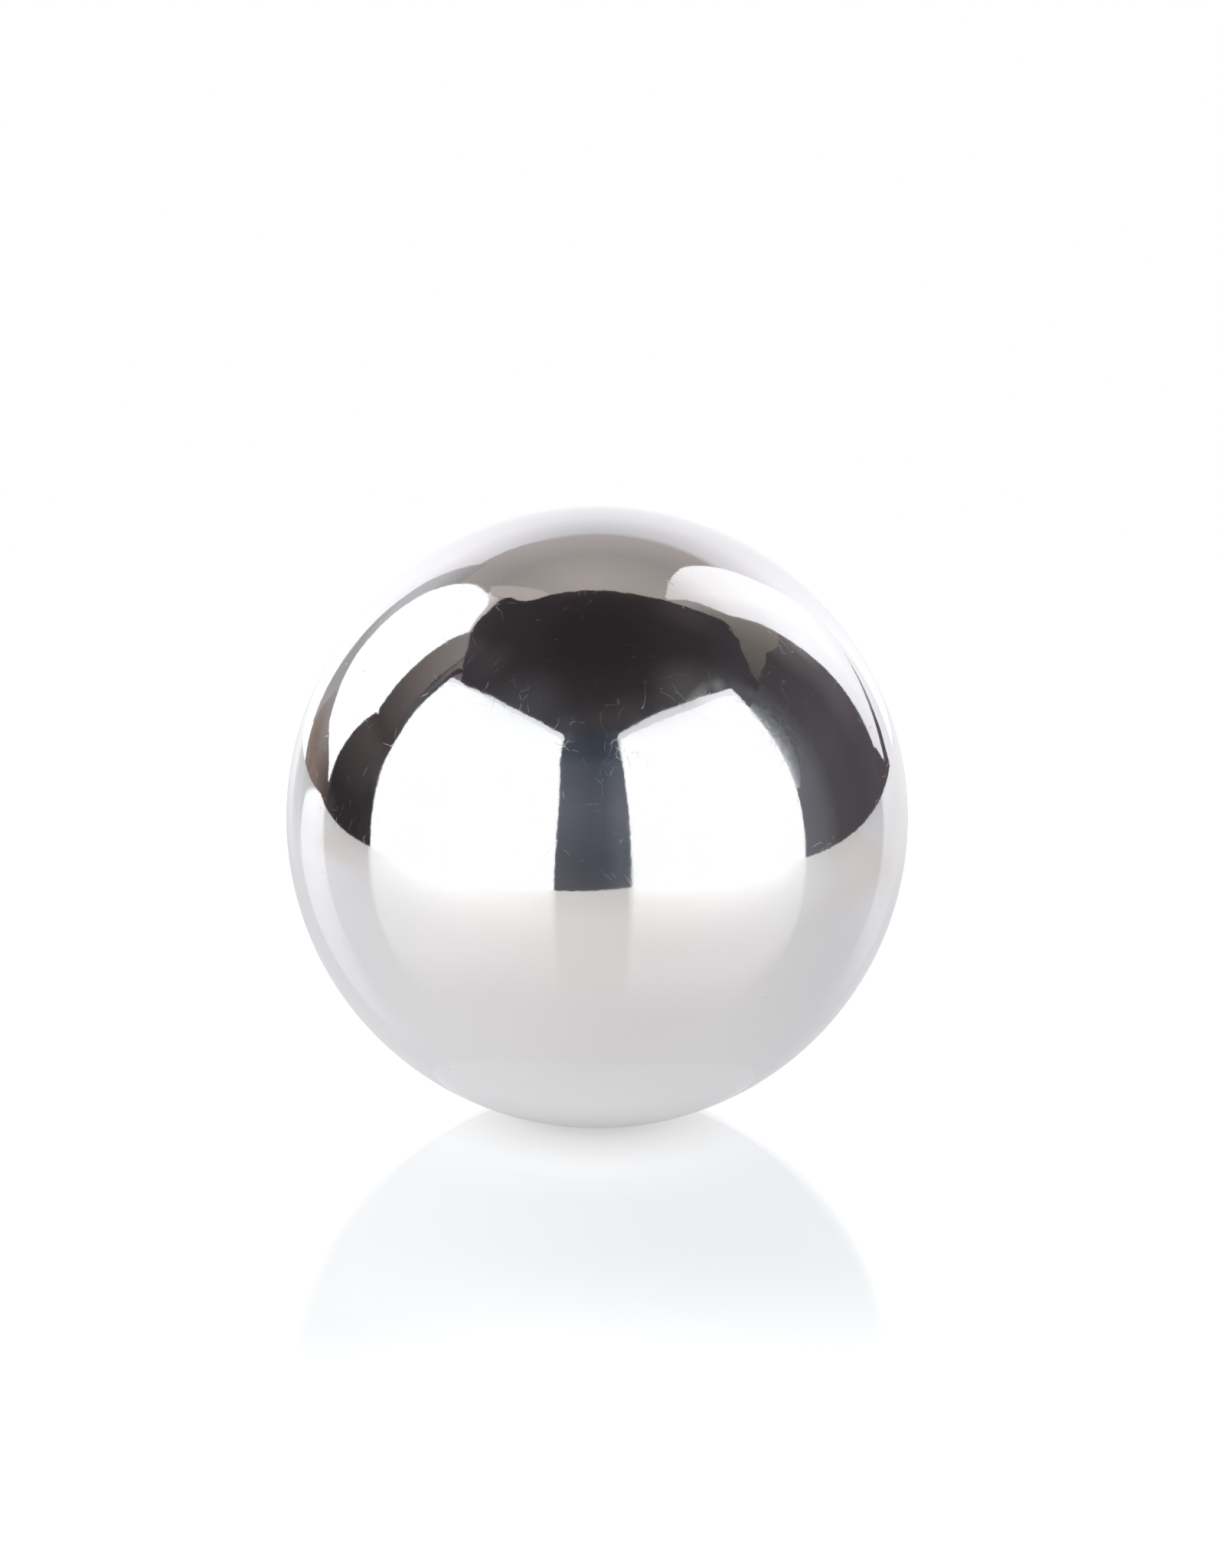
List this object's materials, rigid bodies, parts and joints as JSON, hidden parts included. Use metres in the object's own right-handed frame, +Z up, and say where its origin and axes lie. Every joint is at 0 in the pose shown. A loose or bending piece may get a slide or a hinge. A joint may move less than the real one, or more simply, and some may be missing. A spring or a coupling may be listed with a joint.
{
  "type": "steel ball",
  "caption": "Solid polished steel ball, a true sphere that rolls freely and sits in any cup, ring or cone.",
  "frame": {"origin": "centre of the ball, which is also the centre of the seat that holds it", "axes": "+Z up, away from what the ball rests on; every axis through the centre is the same"},
  "size_m": [0.05, 0.05, 0.05],
  "materials": {
    "polished_steel": "mirror polished, with faint hairline scratches and specks from handling"
  },
  "bodies": {
    "root": {"ball": "polished_steel"}
  },
  "joints": []
}
